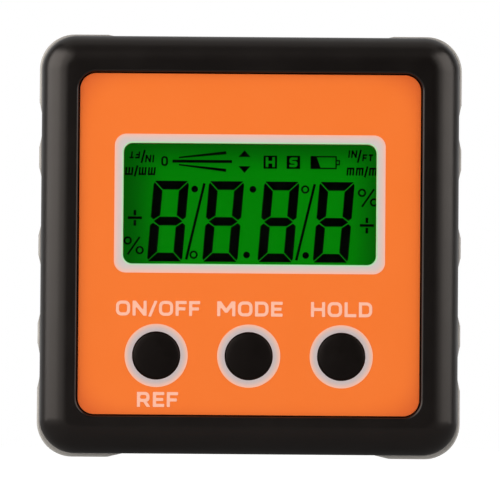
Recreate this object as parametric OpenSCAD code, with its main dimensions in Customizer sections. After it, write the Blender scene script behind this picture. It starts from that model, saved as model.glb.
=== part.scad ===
// Digital angle gauge: a square box with an aluminium band, a lit display and three buttons.
// Units are millimetres. X runs to the right, the front faces -Y, Z is up.
// The origin lies in the middle of the footprint, on the surface that the gauge stands on.

/* [Case] */
// Width of the case across its corner pads
case_w = 60; // [52:1:80]
// Height of the case across its corner pads
case_h = 60; // [54:1:80]
// Depth of the case from the rear face to the bezel's crest
case_d = 30; // [29:0.5:40]
// Corner radius of the case seen from the front
corner_r = 5; // [4.5:0.5:7]
// How far the plastic shells sit inside the corner pads
shell_inset = 0.5; // [0.3:0.1:1]
// Length of the skirts that locate the shells in the band
skirt_len = 2.5; // [1.5:0.5:4]
// Wall of the skirts
skirt_wall = 1.4; // [1:0.1:1.6]
// Clearance of pieces that slip together
fit_gap = 0.1; // [0.05:0.05:0.2]

/* [Aluminium band] */
// Wall of the band at its corner pads
band_wall = 3.4; // [2.8:0.1:3.6]
// Inner corner radius of the band
band_inner_r = 3; // [2.5:0.5:4]
// Length of each corner pad along its side
pad_len = 9.7; // [7:0.1:12]
// Length of the ramp from a pad down to the relief
ramp_len = 2.6; // [1:0.1:4]
// Depth of the relief between the pads, top and bottom
relief_depth = 0.6; // [0.3:0.1:0.9]
// Spacing of the grip crests on the left and right sides
crest_pitch = 12.5; // [9:0.5:14]
// Length of the flat on each grip crest
crest_flat = 2.8; // [1:0.1:5]
// Depth of the hollows between the crests
hollow_depth = 0.7; // [0.3:0.1:1]
// Depth of the hollows between the outer crests and the pads
end_hollow_depth = 0.45; // [0.2:0.05:0.8]
// Chamfer along the outer edges of the band
band_chamfer = 0.2; // [0.1:0.05:0.6]
// Diameter of the base magnets
magnet_d = 10; // [6:0.5:12]
// Thickness of the base magnets
magnet_t = 1.8; // [1:0.1:2]
// Spacing of the base magnets
magnet_pitch = 22; // [14:1:24]

/* [Front bezel] */
// Depth of the bezel ahead of the band
front_depth = 8; // [7:0.5:9.5]
// Rounding of the bezel's outer front edge
front_edge_r = 4; // [2:0.1:4.4]
// Width of the rim round the label
rim_w = 5.3; // [4.5:0.1:7]
// Rounding of the rim's edge beside the label
rim_edge_r = 0.35; // [0.2:0.05:0.5]
// Wall behind the label
face_wall = 2; // [1.6:0.1:2.6]

/* [Label] */
// Thickness of the label plate
label_t = 0.6; // [0.4:0.1:0.8]
// How far the label lies below the rim's crest
label_recess = 0.5; // [0.4:0.1:1]
// Corner radius of the label
label_r = 2.3; // [1:0.1:4]
// Clearance between the label and the rim
label_gap = 0.2; // [0.1:0.05:0.3]

/* [Display] */
// Width of the display window
window_w = 35.6; // [28:0.1:38]
// Height of the display window
window_h = 17; // [12:0.1:19]
// Corner radius of the display window
window_r = 1.3; // [0.5:0.1:3]
// Height of the window's centre above the middle of the case
display_up = 5.7; // [2:0.1:6.5]
// Thickness of the clear lens
lens_t = 1.2; // [0.8:0.1:1.4]
// How far the lens reaches past the window on each side
lens_lap = 1.2; // [0.8:0.1:2]
// Thickness of each of the two display glasses
glass_t = 1.1; // [0.7:0.1:1.3]
// How far the glasses reach past the window at left and right
glass_side = 1.8; // [1:0.1:2.4]
// How far the rear glass reaches past the window at top and bottom
glass_end = 1.2; // [0.8:0.1:1.6]
// Ledge of the front glass past the rear glass, where the rubber strips press
ledge = 1.6; // [1.2:0.1:2]
// Thickness of the backlight panel
backlight_t = 2.7; // [2:0.1:3.5]
// Room for a diode at each end of the backlight panel
diode_room = 1.8; // [1.5:0.1:2.5]
// Wall of the frame that holds the display
holder_wall = 0.9; // [0.7:0.1:1.2]
// Clearance round the display in its frame
holder_gap = 0.15; // [0.1:0.05:0.25]

/* [Buttons] */
// Diameter of the buttons
button_d = 6.5; // [5:0.1:8]
// Spacing of the buttons
button_pitch = 13; // [11:0.1:14.5]
// How far the buttons lie below the middle of the case
button_drop = 15.7; // [14:0.1:16.5]
// How far the buttons stand proud of the label
button_proud = 0.3; // [0.1:0.1:0.8]
// Rise of the buttons' domed tops
button_dome = 0.2; // [0.1:0.05:0.4]
// Clearance round each button
button_gap = 0.15; // [0.1:0.05:0.3]
// Travel of the buttons
button_travel = 0.4; // [0.2:0.1:0.5]
// How far a button's flange reaches under the face wall
flange_lap = 0.9; // [0.6:0.1:1.4]
// Thickness of a button's flange
flange_t = 0.8; // [0.6:0.1:1]
// Width of the tact switches
switch_w = 6; // [4.5:0.1:7]
// Diameter of the switch plungers
plunger_d = 3.4; // [2.5:0.1:3.6]
// How far a plunger stands out of its switch
plunger_proud = 0.6; // [0.6:0.1:0.9]
// How far a plunger reaches into its switch
plunger_hold = 0.6; // [0.4:0.1:0.8]

/* [Circuit board] */
// Thickness of the circuit board
board_t = 1.6; // [1:0.1:2]
// Clearance round the circuit board
board_gap = 0.4; // [0.2:0.05:0.6]
// Width of the controller chip
controller_w = 10; // [7:0.5:12]
// Height of the controller chip
controller_t = 1.4; // [1:0.1:1.6]
// Leads along each side of the controller chip
controller_leads = 8; // [4:1:12]
// Width of the tilt sensor chip
sensor_w = 4; // [3:0.5:5]
// Height of the tilt sensor chip
sensor_t = 1.1; // [0.8:0.1:1.4]
// Length of the clock crystal
crystal_len = 8; // [6:0.5:10]
// Height of the clock crystal
crystal_t = 2; // [1.2:0.1:2.4]

/* [Rear cover] */
// Depth of the rear cover behind the band
rear_depth = 6.5; // [6:0.5:8]
// Rounding of the cover's outer rear edge
rear_edge_r = 2.4; // [1.5:0.1:2.6]
// Thickness of the rear wall
rear_wall = 3; // [2.6:0.1:4]

/* [Batteries] */
// Diameter of a cell
battery_d = 10.5; // [9.5:0.1:11]
// Width of the case beyond the length of a cell
cell_room = 15.5; // [15:0.5:20]
// Diameter of a cell's nub
nub_d = 3.8; // [3:0.1:4.5]
// Length of a cell's nub
nub_len = 1; // [0.8:0.1:1.5]
// Clearance round a cell in its cradle
battery_gap = 0.25; // [0.15:0.05:0.4]
// Wall round the battery well
well_wall = 1.4; // [1.2:0.1:1.6]
// Floor of the battery well
well_floor = 1.2; // [1:0.1:1.5]
// Thickness of the contact plates
contact_t = 0.4; // [0.3:0.05:0.5]
// Height of the bump that meets a nub
bump_len = 0.8; // [0.5:0.1:1]
// Length of a contact spring under a cell's load
spring_len = 3.6; // [2.6:0.1:4]
// Wire of the contact springs
wire_d = 0.6; // [0.4:0.1:0.7]
// Turns of each contact spring
spring_turns = 3; // [2:1:4]

/* [Battery door] */
// Thickness of the battery door
door_t = 1.8; // [1.5:0.1:2]
// How far the door laps the edge of the battery well
door_lap = 1.2; // [1:0.1:1.3]
// Clearance round the battery door
door_gap = 0.15; // [0.1:0.05:0.25]
// Width of each hook tab
hook_w = 7; // [4:0.5:9]
// Thickness of the hook tabs
hook_t = 1.2; // [1:0.1:1.4]
// How far the hook tabs reach under the edge of the well
hook_reach = 2.4; // [1.6:0.1:2.6]
// Height of the ribs inside the door
rib_h = 1.3; // [0.8:0.1:1.6]
// Width of the latch tongue
latch_w = 9; // [6:0.5:12]

/* [Screws] */
// Diameter of the case screws
screw_d = 2.5; // [2:0.1:2.6]
// Diameter of the case screws' heads
screw_head_d = 4.6; // [4:0.1:4.8]
// Height of the case screws' heads
screw_head_t = 1.9; // [1.4:0.1:2.1]
// Radius of the rear cover's bosses round the case screws
boss_r = 2.7; // [2.5:0.1:3]
// Diameter of the board screws
board_screw_d = 1.8; // [1.4:0.1:2]
// Diameter of the board screws' heads
board_head_d = 3.2; // [2.8:0.1:3.6]
// Height of the board screws' heads
board_head_t = 1.1; // [0.8:0.1:1.3]
// How far the board screws lie above the lower case screws
board_screw_rise = 6.1; // [5.5:0.1:8]

/* [Hidden] */
$fn = 64;
through = 1;            // overshoot of a cut past the face that it opens
touch = 0.02;           // air between a spring and the cell that it presses
seat_gap = 0.3;         // air between inner pieces that don't press on each other
pilot_gap = 0.03;       // air round a screw in its pilot hole
boss_gap = 0.6;         // air between a boss and the skirt
pilot_wall = 1;         // wall round a screw's pilot hole
screw_room = 0.4;       // room round a screw and its head in the rear cover
head_sink = 0.7;        // how far the case screws' heads lie below the rear face
tip_room = 0.5;         // air between a screw's tip and the face wall

// Depths, measured towards the front from the middle of the case
front_at = case_d / 2;
rear_at = -case_d / 2;
label_at = front_at - label_recess;
face_front = label_at - label_t;
face_back = face_front - face_wall;
band_front = front_at - front_depth;
band_rear = rear_at + rear_depth;
glass_back = face_back - 2 * glass_t;
board_front = glass_back - backlight_t;
board_back = board_front - board_t;
button_back = face_back - flange_t;
switch_top = button_back - plunger_proud;

// Outlines seen from the front
shell_w = case_w - 2 * shell_inset;
shell_h = case_h - 2 * shell_inset;
band_inner_w = case_w - 2 * band_wall;
band_inner_h = case_h - 2 * band_wall;
skirt_w = band_inner_w - 2 * fit_gap;
skirt_h = band_inner_h - 2 * fit_gap;
skirt_r = band_inner_r - fit_gap;
cavity_w = skirt_w - 2 * skirt_wall;
cavity_h = skirt_h - 2 * skirt_wall;
cavity_r = skirt_r - skirt_wall / 2;
label_open_w = shell_w - 2 * rim_w;
label_open_h = shell_h - 2 * rim_w;
label_open_r = label_r + label_gap;
board_w = cavity_w - 2 * board_gap;
board_h = cavity_h - 2 * board_gap;
board_rim = 0.2;        // from a board screw's boss to the board's edge
part_gap = 3;           // from the controller chip to the parts beside it

// Display stack
lens_w = window_w + 2 * lens_lap;
lens_h = window_h + 2 * lens_lap;
glass_w = window_w + 2 * glass_side;
rear_glass_h = window_h + 2 * glass_end;
front_glass_h = rear_glass_h + 2 * ledge;
holder_in_w = glass_w + 2 * holder_gap;
holder_in_h = front_glass_h + 2 * holder_gap;
backlight_w = glass_w - 2 * diode_room;
strip_t = ledge - 2 * holder_gap;
diode_w = diode_room - 2 * holder_gap;
diode_len = 3;
diode_h = 1.6;

// Buttons and switches
button_spots = [-button_pitch, 0, button_pitch];
flange_r = button_d / 2 + flange_lap;
terminal_w = 0.7;
terminal_len = 1;
terminal_t = 0.4;

// Screw positions
screw_u = cavity_w / 2 - boss_r - boss_gap;
screw_v = cavity_h / 2 - boss_r - boss_gap;
screw_hole_d = screw_d + screw_room;
screw_tip = face_back - tip_room;
counterbore_d = screw_head_d + screw_room;
counterbore_t = screw_head_t + head_sink;
front_boss_r = screw_d / 2 + pilot_wall;
board_boss_r = board_screw_d / 2 + pilot_wall;
board_screw_u = board_w / 2 - board_boss_r - board_rim;
board_screw_v = board_screw_rise - screw_v;
recess_slot = 0.6;      // width of a cross recess's arms
recess_depth = 0.9;
recess_share = 0.6;     // length of the arms as a share of the head
point_share = 1 / 3;    // length and tip of a screw's point as a share of its diameter

// Battery well, with depths measured forwards from the rear face
battery_len = case_w - cell_room;
cradle_r = battery_d / 2 + battery_gap;
cradle_land = 0.2;      // width of the ridge between the cradles
cradle_rise = 1.5;      // start of that ridge, ahead of the cells' axes
battery_pitch = 2 * cradle_r + cradle_land;
cell_at = door_t + rib_h + seat_gap + battery_d / 2;
well_len = battery_len + spring_len + bump_len + 2 * contact_t;
well_half = battery_pitch / 2 + cradle_r;
well_end = min(well_len / 2 + well_wall, skirt_w / 2);
plate_gap = 0.4;        // air between a contact plate and its cradle
plate_r = cradle_r - plate_gap;
leg_w = 2.4;
leg_step = 2;           // how far a contact's leg steps inwards
foot_len = 1.6;
leg_gap = 0.1;          // air round a leg in its slot
bump_inset = 0.3;       // how far a bump's top lies inside the nub's edge
bump_r = nub_d / 2 - bump_inset;
spring_inset = 1.5;     // from a plate's edge to the spring's first turn
spring_taper = 1.4;     // how far the spring's last turn lies inside its first
spring_base_r = plate_r - spring_inset;
spring_tip_r = spring_base_r - spring_taper;
coil_sides = 8;         // sides of the spring wire
coil_rings = 14;        // rings of points in each turn

// Battery door
door_w = well_len + 2 * door_lap;
door_h = 2 * well_half + 2 * door_lap;
door_r = 1.5;
hook_inset = 4.5;       // from the well's end to a hook tab
hook_space = well_len / 2 - hook_w / 2 - hook_inset;
hook_ledge = 1;         // thickness of the ledge that the hooks reach under
hook_play = 0.4;        // air between the hooks and that ledge
neck_gap = 0.2;         // air between the hooks' necks and the well's wall
notch_room = 0.5;       // air ahead of the hooks in their notches
ledge_back = door_t + hook_ledge;
hook_at = ledge_back + hook_play;
hook_neck = well_half - neck_gap;
hook_top = well_half + hook_reach;
notch_back = hook_at + hook_t + notch_room;
latch_t = 1;
latch_len = 2.6;
latch_slot = 0.5;       // depth of the slot in the well's wall
latch_gap = 0.1;        // air between the latch and the well's wall
bead_r = 0.4;
grip_grooves = 4;
groove_inset = 3;       // from the door's lower edge to the first groove
groove_len = 10;
groove_w = 0.6;
groove_depth = 0.35;
scoop_r = 4.5;
scoop_depth = 1;
rib_w = 1;

// Stands the gauge up: what was drawn facing the viewer then faces -Y
module stand() {
    translate([0, 0, case_h / 2])
        rotate([90, 0, 0])
            children();
}

// Moves to the rear face, from where depths run forwards
module from_rear() {
    translate([0, 0, rear_at])
        children();
}

module rounded_square(w, h, r) {
    square([w - 2 * r, h], center = true);
    square([w, h - 2 * r], center = true);
    for (x = [-1, 1], y = [-1, 1])
        translate([x * (w / 2 - r), y * (h / 2 - r)])
            circle(r);
}

// Plate with rounded corners between two depths
module slab(w, h, r, back, front) {
    translate([0, 0, back])
        linear_extrude(front - back)
            rounded_square(w, h, r);
}

// Block between two depths, with square corners
module bar(w, h, back, front) {
    translate([-w / 2, -h / 2, back])
        cube([w, h, front - back]);
}

// Carries a profile round a rounded rectangle; its x is measured from each corner's centre
module sweep_round(w, h, r) {
    for (side = [0:3]) {
        across = side % 2 == 0 ? w : h;
        along = side % 2 == 0 ? h : w;
        rotate(90 * side)
            translate([across / 2 - r, along / 2 - r, 0]) {
                rotate_extrude(angle = 90)
                    children();
                rotate([90, 0, 0])
                    linear_extrude(along - 2 * r)
                        children();
            }
    }
}

// Wall of a shell from its corner centre outwards, with a rounded upper edge
module edge_profile(r, depth, edge_r) {
    square([r - edge_r, depth]);
    square([r, depth - edge_r]);
    translate([r - edge_r, depth - edge_r])
        intersection() {
            circle(edge_r);
            square(edge_r);
        }
}

module shell_block(depth, edge_r) {
    sweep_round(shell_w, shell_h, corner_r)
        edge_profile(corner_r, depth, edge_r);
    bar(shell_w - 2 * corner_r, shell_h - 2 * corner_r, 0, depth);
}

module at_corners(u, v) {
    for (x = [-1, 1], y = [-1, 1])
        translate([x * u, y * v, 0])
            children();
}

module at_buttons() {
    for (u = button_spots)
        translate([u, -button_drop, 0])
            children();
}

module at_display() {
    translate([0, display_up, 0])
        children();
}

// Aluminium band

module relief_outline() {
    floor_half = case_w / 2 - pad_len - ramp_len;
    pad_start = case_w / 2 - pad_len;
    top = case_h / 2;
    polygon([
        [-floor_half, top - relief_depth], [floor_half, top - relief_depth],
        [pad_start, top], [pad_start, top + through],
        [-pad_start, top + through], [-pad_start, top]
    ]);
}

// Circle that cuts a hollow of the given chord and depth into the right side
module hollow_circle(v, chord, depth) {
    r = (chord * chord / 4 + depth * depth) / (2 * depth);
    translate([case_w / 2 - depth + r, v])
        circle(r, $fn = 120);
}

module grip_hollows() {
    crest_end = crest_pitch + crest_flat / 2;
    pad_start = case_h / 2 - pad_len;
    for (up = [-1, 1]) {
        hollow_circle(up * crest_pitch / 2, crest_pitch - crest_flat, hollow_depth);
        hollow_circle(up * (crest_end + pad_start) / 2, pad_start - crest_end, end_hollow_depth);
    }
}

module band_outline() {
    difference() {
        rounded_square(case_w, case_h, corner_r);
        rounded_square(band_inner_w, band_inner_h, band_inner_r);
        for (turn = [0, 180])
            rotate(turn) {
                relief_outline();
                grip_hollows();
            }
    }
}

// Ring that chamfers the band's outer edge at depth 0, from above
module band_chamfer_ring() {
    over = band_chamfer;
    sweep_round(case_w, case_h, corner_r)
        polygon([
            [corner_r - band_chamfer - over, over],
            [corner_r + over, -band_chamfer - over],
            [corner_r + over, over]
        ]);
}

// Places a disc in the base, its lower face level with the relief
module at_magnets() {
    band_mid = (band_front + band_rear) / 2;
    for (side = [-1, 1])
        translate([side * magnet_pitch / 2, relief_depth - case_h / 2 + magnet_t, band_mid])
            rotate([90, 0, 0])
                children();
}

module aluminium_band() {
    color("silver")
        stand()
            difference() {
                translate([0, 0, band_rear])
                    linear_extrude(band_front - band_rear)
                        band_outline();
                translate([0, 0, band_front])
                    band_chamfer_ring();
                translate([0, 0, band_rear])
                    mirror([0, 0, 1])
                        band_chamfer_ring();
                at_magnets()
                    cylinder(d = magnet_d + fit_gap, h = magnet_t + through);
            }
}

module base_magnets() {
    color("gainsboro")
        stand()
            at_magnets()
                cylinder(d = magnet_d, h = magnet_t);
}

// Front bezel and label

// Ring that rounds the rim's inner edge at depth 0, from above
module rim_edge_ring() {
    sweep_round(label_open_w, label_open_h, label_open_r)
        difference() {
            translate([label_open_r - rim_edge_r, -rim_edge_r])
                square(2 * rim_edge_r);
            translate([label_open_r + rim_edge_r, -rim_edge_r])
                circle(rim_edge_r);
        }
}

module bezel_shell() {
    difference() {
        union() {
            translate([0, 0, band_front])
                shell_block(front_depth, front_edge_r);
            slab(skirt_w, skirt_h, skirt_r, band_front - skirt_len, face_back);
        }
        slab(cavity_w, cavity_h, cavity_r, band_front - skirt_len - through, face_back);
        slab(label_open_w, label_open_h, label_open_r, face_front, front_at + through);
        translate([0, 0, front_at])
            rim_edge_ring();
    }
}

module bezel_bosses() {
    at_corners(screw_u, screw_v)
        translate([0, 0, board_front])
            cylinder(r = front_boss_r, h = face_back - board_front);
    for (side = [-1, 1])
        translate([side * board_screw_u, board_screw_v, board_front])
            cylinder(r = board_boss_r, h = face_back - board_front);
}

module front_bezel() {
    color([0.11, 0.1, 0.1])
        stand()
            difference() {
                union() {
                    bezel_shell();
                    bezel_bosses();
                }
                at_display() {
                    slab(lens_w + 2 * fit_gap, lens_h + 2 * fit_gap, window_r + lens_lap,
                         face_front - lens_t, face_front + label_t / 2);
                    slab(window_w, window_h, window_r, face_back - through, face_front);
                }
                at_buttons()
                    translate([0, 0, face_back - through])
                        cylinder(r = button_d / 2 + button_gap, h = face_wall + 2 * through);
                at_corners(screw_u, screw_v)
                    translate([0, 0, board_front - through])
                        cylinder(r = screw_d / 2 + pilot_gap,
                                 h = screw_tip - board_front + through + fit_gap);
                for (side = [-1, 1])
                    translate([side * board_screw_u, board_screw_v, board_front - through])
                        cylinder(r = board_screw_d / 2 + pilot_gap,
                                 h = screw_tip - board_front + through + fit_gap);
            }
}

module label_plate() {
    color("darkorange")
        stand()
            difference() {
                slab(label_open_w - 2 * label_gap, label_open_h - 2 * label_gap, label_r,
                     face_front, label_at);
                at_display()
                    slab(window_w, window_h, window_r, face_front - through, label_at + through);
                at_buttons()
                    translate([0, 0, face_front - through])
                        cylinder(r = button_d / 2 + button_gap, h = label_t + 2 * through);
            }
}

// Display stack

module display_lens() {
    color("lightcyan", 0.4)
        stand()
            at_display()
                slab(lens_w, lens_h, window_r + lens_lap - fit_gap, face_front - lens_t, face_front);
}

module lcd_panel() {
    color("green")
        stand()
            at_display() {
                bar(glass_w, front_glass_h, face_back - glass_t, face_back);
                bar(glass_w, rear_glass_h, glass_back, face_back - glass_t);
            }
}

module backlight_panel() {
    color("palegreen")
        stand()
            at_display()
                bar(backlight_w, rear_glass_h, board_front, glass_back);
}

module lcd_holder() {
    color("whitesmoke")
        stand()
            difference() {
                at_display()
                    difference() {
                        slab(holder_in_w + 2 * holder_wall, holder_in_h + 2 * holder_wall, holder_wall,
                             board_front, face_back);
                        bar(holder_in_w, holder_in_h, board_front - through, face_back + through);
                    }
                at_corners(screw_u, screw_v)
                    translate([0, 0, board_front - through])
                        cylinder(r = front_boss_r + fit_gap, h = face_back - board_front + 2 * through);
            }
}

module zebra_strips() {
    color("hotpink")
        stand()
            at_display()
                for (up = [-1, 1])
                    translate([0, up * (rear_glass_h + ledge) / 2, 0])
                        bar(window_w, strip_t, board_front, face_back - glass_t);
}

module backlight_leds() {
    color("lemonchiffon")
        stand()
            at_display()
                for (side = [-1, 1])
                    translate([side * (glass_w - diode_room) / 2, 0, 0]) {
                        bar(diode_w, diode_len, board_front, board_front + diode_h / 2);
                        bar(diode_w, diode_len / 2, board_front + diode_h / 2, board_front + diode_h);
                    }
}

// Buttons and switches

module button(u) {
    top = label_at + button_proud;
    r = button_d / 2;
    dome_r = (r * r + button_dome * button_dome) / (2 * button_dome);
    color([0.09, 0.09, 0.09])
        stand()
            translate([u, -button_drop, 0])
                rotate_extrude() {
                    translate([0, button_back])
                        square([flange_r, flange_t]);
                    intersection() {
                        translate([0, button_back])
                            square([r, top - button_back]);
                        translate([0, top - dome_r])
                            circle(dome_r, $fn = 720);
                    }
                }
}

module plunger(u) {
    color("saddlebrown")
        stand()
            translate([u, -button_drop, switch_top - plunger_hold])
                cylinder(d = plunger_d, h = plunger_hold + plunger_proud);
}

module on_off_button() {
    button(button_spots[0]);
}

module mode_button() {
    button(button_spots[1]);
}

module hold_button() {
    button(button_spots[2]);
}

module on_off_plunger() {
    plunger(button_spots[0]);
}

module mode_plunger() {
    plunger(button_spots[1]);
}

module hold_plunger() {
    plunger(button_spots[2]);
}

module switch_bodies() {
    bore_depth = plunger_hold + button_travel + seat_gap;
    color("dimgray")
        stand()
            at_buttons() {
                difference() {
                    bar(switch_w, switch_w, board_front, switch_top);
                    translate([0, 0, switch_top - bore_depth])
                        cylinder(r = plunger_d / 2 + button_gap, h = bore_depth + through);
                }
                at_corners((switch_w + terminal_len) / 2, switch_w / 3)
                    bar(terminal_len, terminal_w, board_front, board_front + terminal_t);
            }
}

// Circuit board and what is soldered to its back

module circuit_board() {
    color("seagreen")
        stand()
            difference() {
                slab(board_w, board_h, cavity_r, board_back, board_front);
                at_corners(screw_u, screw_v)
                    translate([0, 0, board_back - through])
                        cylinder(d = screw_hole_d, h = board_t + 2 * through);
                for (side = [-1, 1])
                    translate([side * board_screw_u, board_screw_v, board_back - through])
                        cylinder(r = board_screw_d / 2 + fit_gap, h = board_t + 2 * through);
            }
}

// Plate of a chip that stands on the back of the board
module on_board(w, h, t) {
    bar(w, h, board_back - t, board_back);
}

module tilt_sensor() {
    beside = (controller_w + sensor_w) / 2 + part_gap;
    color("black")
        stand()
            translate([beside, beside, 0])
                on_board(sensor_w, sensor_w, sensor_t);
}

module controller_chip() {
    standoff = 0.15;
    lead_w = 0.35;
    lead_len = 1;
    lead_t = 0.2;
    lead_pitch = controller_w / (controller_leads + 1);
    color("black")
        stand() {
            bar(controller_w, controller_w, board_back - controller_t, board_back - standoff);
            for (turn = [0:3], i = [1:controller_leads])
                rotate(90 * turn)
                    translate([(controller_w + lead_len) / 2, i * lead_pitch - controller_w / 2, 0]) {
                        on_board(lead_len, lead_w, lead_t);
                        translate([(lead_t - lead_len) / 2, 0, 0])
                            on_board(lead_t, lead_w, controller_t / 2);
                    }
        }
}

module clock_crystal() {
    crystal_w = 3;
    crystal_r = 1.35;
    color("lightgray")
        stand()
            translate([-(controller_w + crystal_w) / 2 - 2 * part_gap, 0, 0])
                rotate(90)
                    slab(crystal_len, crystal_w, crystal_r, board_back - crystal_t, board_back);
}

module chip_components() {
    chip_len = 2;
    chip_w = 1.2;
    chip_t = 0.7;
    spacing = 3.2;
    row_at = (controller_w + chip_len) / 2 + part_gap;
    color("tan")
        stand()
            for (row = [-1, 1], i = [-2:2])
                translate([i * spacing, row * row_at, 0])
                    on_board(chip_w, chip_len, chip_t);
}

// Rear cover

module battery_cradles(r, half_len) {
    for (up = [-1, 1])
        translate([0, up * battery_pitch / 2, cell_at])
            rotate([0, 90, 0])
                cylinder(r = r, h = 2 * half_len, center = true);
}

module well_outside() {
    from_rear() {
        bar(2 * well_end, 2 * (well_half + well_wall), 0, cell_at);
        battery_cradles(cradle_r + well_floor, well_end);
    }
}

module well_inside() {
    bar(well_len, 2 * well_half, -through, cell_at + cradle_rise);
    battery_cradles(cradle_r, well_len / 2);
    slab(door_w + 2 * door_gap, door_h + 2 * door_gap, door_r + door_gap, -through, door_t);
}

module hook_notches() {
    for (side = [-1, 1])
        translate([side * hook_space, well_half, 0])
            bar(hook_w + 4 * door_gap, 2 * (hook_reach + door_gap), ledge_back, notch_back);
}

// Slot in the well's lower wall that takes the latch, and a scoop for a finger
module latch_cuts() {
    translate([0, -well_half, 0])
        bar(latch_w + 4 * door_gap, 2 * latch_slot, -through, door_t + latch_len + seat_gap);
    translate([0, -door_h / 2 - door_gap, -through])
        cylinder(r = scoop_r, h = scoop_depth + through);
}

module leg_slots() {
    for (up = [-1, 1])
        translate([(well_len - contact_t - leg_gap) / 2, up * battery_pitch / 2, 0])
            bar(contact_t + leg_gap, leg_w + 4 * leg_gap, cell_at, cell_at + 2 * cradle_r);
}

module rear_shell() {
    difference() {
        union() {
            translate([0, 0, band_rear])
                mirror([0, 0, 1])
                    shell_block(rear_depth, rear_edge_r);
            slab(skirt_w, skirt_h, skirt_r, rear_at + rear_wall, band_rear + skirt_len);
        }
        slab(cavity_w, cavity_h, cavity_r, rear_at + rear_wall, band_rear + skirt_len + through);
    }
    at_corners(screw_u, screw_v)
        translate([0, 0, rear_at + rear_wall])
            cylinder(r = boss_r, h = board_back - rear_at - rear_wall);
}

module rear_cover() {
    color([0.12, 0.12, 0.12])
        stand()
            difference() {
                union() {
                    rear_shell();
                    well_outside();
                }
                from_rear() {
                    well_inside();
                    hook_notches();
                    latch_cuts();
                    leg_slots();
                    at_corners(screw_u, screw_v) {
                        translate([0, 0, -through])
                            cylinder(d = counterbore_d, h = counterbore_t + through);
                        cylinder(d = screw_hole_d, h = case_d);
                    }
                }
            }
}

// Battery door

module door_plate() {
    groove_from = groove_inset - door_h / 2;
    difference() {
        slab(door_w, door_h, door_r, 0, door_t);
        for (i = [0:grip_grooves - 1])
            translate([0, groove_from + 2 * i * groove_w, 0])
                bar(groove_len, groove_w, -through, groove_depth);
    }
}

module door_hooks() {
    for (side = [-1, 1])
        translate([side * hook_space, 0, 0]) {
            translate([0, hook_neck - hook_t / 2, 0])
                bar(hook_w, hook_t, door_t / 2, hook_at + hook_t);
            translate([0, (hook_neck - hook_t + hook_top) / 2, 0])
                bar(hook_w, hook_top - hook_neck + hook_t, hook_at, hook_at + hook_t);
        }
}

module door_latch() {
    tongue = -well_half + latch_gap + bead_r / 2;
    translate([0, tongue + latch_t / 2, 0])
        bar(latch_w, latch_t, door_t / 2, door_t + latch_len);
    translate([0, tongue + bead_r / 2, door_t + latch_len - 2 * bead_r])
        rotate([0, 90, 0])
            cylinder(r = bead_r, h = latch_w, center = true);
}

module door_ribs() {
    for (side = [-1, 1])
        translate([side * battery_len / 4, 0, 0])
            bar(rib_w, battery_pitch, door_t / 2, door_t + rib_h);
}

module battery_door() {
    color([0.14, 0.14, 0.14])
        stand()
            from_rear() {
                door_plate();
                door_hooks();
                door_latch();
                door_ribs();
            }
}

// Batteries and their contacts

// Cell along X from its flat end at 0 to its nub
module cell() {
    shoulder = 0.5;
    body_len = battery_len - nub_len;
    rotate([0, 90, 0])
        rotate_extrude()
            polygon([
                [0, 0], [battery_d / 2 - shoulder, 0], [battery_d / 2, shoulder],
                [battery_d / 2, body_len - shoulder], [battery_d / 2 - shoulder, body_len],
                [nub_d / 2, body_len], [nub_d / 2, battery_len], [0, battery_len]
            ]);
}

// Places a cell in its cradle, its flat end against the spring
module in_cradle(up) {
    stand()
        from_rear()
            translate([0, up * battery_pitch / 2, cell_at])
                rotate(up > 0 ? 0 : 180)
                    translate([contact_t + spring_len - well_len / 2, 0, 0])
                        children();
}

module upper_battery() {
    color("darkgreen")
        in_cradle(1)
            cell();
}

module lower_battery() {
    color("darkgreen")
        in_cradle(-1)
            cell();
}

// Points of one ring of spring wire, at share s of the way from the plate to the cell
function coil_ring(s) =
    let (
        a = 360 * spring_turns * s,
        r = spring_base_r + (spring_tip_r - spring_base_r) * s,
        reach = wire_d / 3 + (spring_len - touch - wire_d / 2 - wire_d / 3) * s
    )
    [for (i = [0:coil_sides - 1])
        let (b = 360 * i / coil_sides, out = r + wire_d / 2 * cos(b))
        [reach + wire_d / 2 * sin(b), out * cos(a), out * sin(a)]];

module coil_spring() {
    rings = spring_turns * coil_rings;
    points = [for (k = [0:rings]) each coil_ring(k / rings)];
    sides = [for (k = [0:rings - 1], i = [0:coil_sides - 1])
        let (j = (i + 1) % coil_sides, low = k * coil_sides, high = low + coil_sides)
        [low + i, low + j, high + j, high + i]];
    first_cap = [for (i = [coil_sides - 1:-1:0]) i];
    last_cap = [for (i = [0:coil_sides - 1]) rings * coil_sides + i];
    polyhedron(points, concat(sides, [first_cap, last_cap]));
}

// Round plate against the well's end wall at X 0, facing +X
module contact_disc() {
    rotate([0, 90, 0])
        cylinder(r = plate_r, h = contact_t);
}

module contact_bump() {
    translate([contact_t / 2, 0, 0])
        rotate([0, 90, 0])
            cylinder(r1 = bump_r + contact_t, r2 = bump_r, h = contact_t / 2 + bump_len);
}

module contact_spring() {
    translate([contact_t, 0, 0])
        coil_spring();
}

// Leg from a plate through the well's floor to a foot on the board
module contact_leg() {
    step_at = cradle_r + well_floor + 2 * leg_gap;
    board_at = board_back - rear_at - cell_at;
    translate([contact_t / 2, 0, 0])
        bar(contact_t, leg_w, 0, step_at + contact_t);
    translate([leg_step / 2, 0, 0])
        bar(leg_step, leg_w, step_at, step_at + contact_t);
    translate([leg_step - contact_t / 2, 0, 0])
        bar(contact_t, leg_w, step_at, board_at);
    translate([leg_step + foot_len / 2 - contact_t, 0, 0])
        bar(foot_len, leg_w, board_at - contact_t, board_at);
}

// Places a contact at the right (1) or left (-1) end of the upper (1) or lower (-1) cradle
module at_well_end(side, up) {
    stand()
        from_rear()
            translate([side * well_len / 2, up * battery_pitch / 2, cell_at])
                rotate(side > 0 ? 180 : 0)
                    children();
}

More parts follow.
